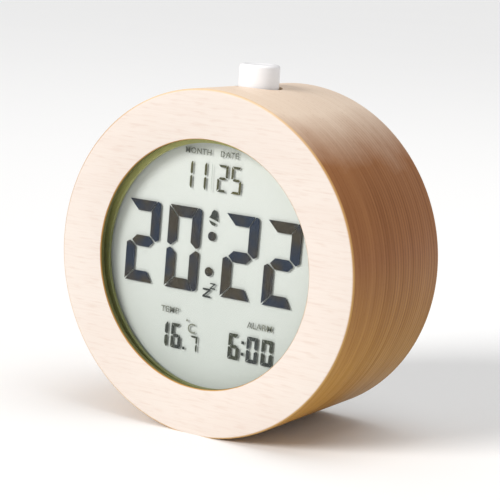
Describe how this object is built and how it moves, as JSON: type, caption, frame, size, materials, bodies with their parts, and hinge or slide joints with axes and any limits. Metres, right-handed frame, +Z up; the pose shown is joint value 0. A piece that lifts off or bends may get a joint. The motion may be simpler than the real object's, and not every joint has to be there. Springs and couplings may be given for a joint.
{
  "type": "alarm clock",
  "caption": "Round turned-wood digital alarm clock with a segment display in front, a push button on top and rear controls with a hinged battery door.",
  "frame": {"origin": "on the table, under the middle of the drum, in the middle of the flat that it stands on", "axes": "+Z up, the display looks along -Y, the battery door is at +Y, +X is to the viewer's right when the display is read"},
  "size_m": [0.09, 0.045, 0.0953],
  "materials": {
    "beech": "turned, fine sanded and lightly oiled beech",
    "button_white": "satin white moulded plastic",
    "cover_plastic": "fine spark-eroded texture",
    "frame_plastic": "moulded, dark",
    "bezel_plastic": "smooth dark olive",
    "lens_acrylic": "polished clear acrylic",
    "display_glass": "liquid crystal cell with a pale grey-green reflector",
    "light_guide": "frosted acrylic",
    "zebra_rubber": "banded silicone rubber",
    "circuit_board": "green solder mask",
    "black_epoxy": "poured epoxy",
    "black_plastic": "moulded",
    "nickel": "nickel-plated steel",
    "cell_wrap": "shrink sleeve over a steel can",
    "ceramic": "dipped bead",
    "red_pvc": "soft insulation",
    "black_pvc": "soft insulation",
    "ribbon_pvc": "flat ribbon insulation"
  },
  "bodies": {
    "clock": {"wood_case": "beech", "lens": "lens_acrylic", "display_bezel": "bezel_plastic", "lcd_front_glass": "display_glass", "lcd_rear_glass": "display_glass", "light_guide": "light_guide", "backlight_led": "button_white", "zebra_strip_upper": "zebra_rubber", "zebra_strip_lower": "zebra_rubber", "inner_frame": "frame_plastic", "main_board": "circuit_board", "board_screw_1": "nickel", "board_screw_2": "nickel", "board_screw_3": "nickel", "board_screw_4": "nickel", "buzzer": "black_plastic", "controller_chip": "black_epoxy", "crystal": "nickel", "capacitor": "black_plastic", "thermistor": "ceramic", "snooze_board": "circuit_board", "snooze_switch_body": "black_plastic", "snooze_spring": "nickel", "rear_cover": "cover_plastic", "cover_screw_1": "nickel", "cover_screw_2": "nickel", "cover_screw_3": "nickel", "cover_screw_4": "nickel", "control_board": "circuit_board", "set_switch_body": "black_plastic", "up_switch_body": "black_plastic", "down_switch_body": "black_plastic", "mode_switch_body": "black_plastic", "alarm_switch_body": "nickel", "battery_cell_1": "cell_wrap", "battery_cell_2": "cell_wrap", "battery_cell_3": "cell_wrap", "battery_spring_1": "nickel", "battery_spring_2": "nickel", "battery_spring_3": "nickel", "contact_negative": "nickel", "contact_link_right": "nickel", "contact_link_left": "nickel", "contact_positive": "nickel", "battery_lead_red": "red_pvc", "battery_lead_black": "black_pvc", "control_ribbon": "ribbon_pvc", "snooze_ribbon": "ribbon_pvc"},
    "snooze": {"snooze_button": "button_white"},
    "snooze_contact": {"snooze_switch_plunger": "button_white"},
    "set_key": {"set_button": "button_white", "set_switch_plunger": "button_white"},
    "up_key": {"up_button": "button_white", "up_switch_plunger": "button_white"},
    "down_key": {"down_button": "button_white", "down_switch_plunger": "button_white"},
    "mode_key": {"mode_button": "button_white", "mode_switch_plunger": "button_white"},
    "alarm_knob": {"alarm_switch_knob": "black_plastic"},
    "door": {"battery_door": "cover_plastic"}
  },
  "joints": [
    {"name": "snooze_press", "type": "slide", "parent": "clock", "child": "snooze", "axis": [0, 0, -1], "range_m": [0, 0.0008], "stiffness_N_per_m": 600, "springref_m": -0.0008, "deforming": ["snooze_spring"]},
    {"name": "snooze_contact_travel", "type": "slide", "parent": "clock", "child": "snooze_contact", "axis": [0, 0, -1], "range_m": [0, 0.0004]},
    {"name": "set_press", "type": "slide", "parent": "clock", "child": "set_key", "axis": [0, -1, 0], "range_m": [0, 0.0005], "stiffness_N_per_m": 500, "springref_m": -0.0005},
    {"name": "up_press", "type": "slide", "parent": "clock", "child": "up_key", "axis": [0, -1, 0], "range_m": [0, 0.0005], "stiffness_N_per_m": 500, "springref_m": -0.0005},
    {"name": "down_press", "type": "slide", "parent": "clock", "child": "down_key", "axis": [0, -1, 0], "range_m": [0, 0.0005], "stiffness_N_per_m": 500, "springref_m": -0.0005},
    {"name": "mode_press", "type": "slide", "parent": "clock", "child": "mode_key", "axis": [0, -1, 0], "range_m": [0, 0.0005], "stiffness_N_per_m": 500, "springref_m": -0.0005},
    {"name": "alarm_slide", "type": "slide", "parent": "clock", "child": "alarm_knob", "axis": [1, 0, 0], "range_m": [0, 0.002]},
    {"name": "battery_door_hinge", "type": "hinge", "parent": "clock", "child": "door", "pos_m": [0, 0.0214, 0.0231], "axis": [-1, 0, 0], "range_deg": [0, 80]}
  ],
  "couplings": [
    {"joint": "snooze_contact_travel", "follows": "snooze_press", "ratio": 0.45}
  ]
}
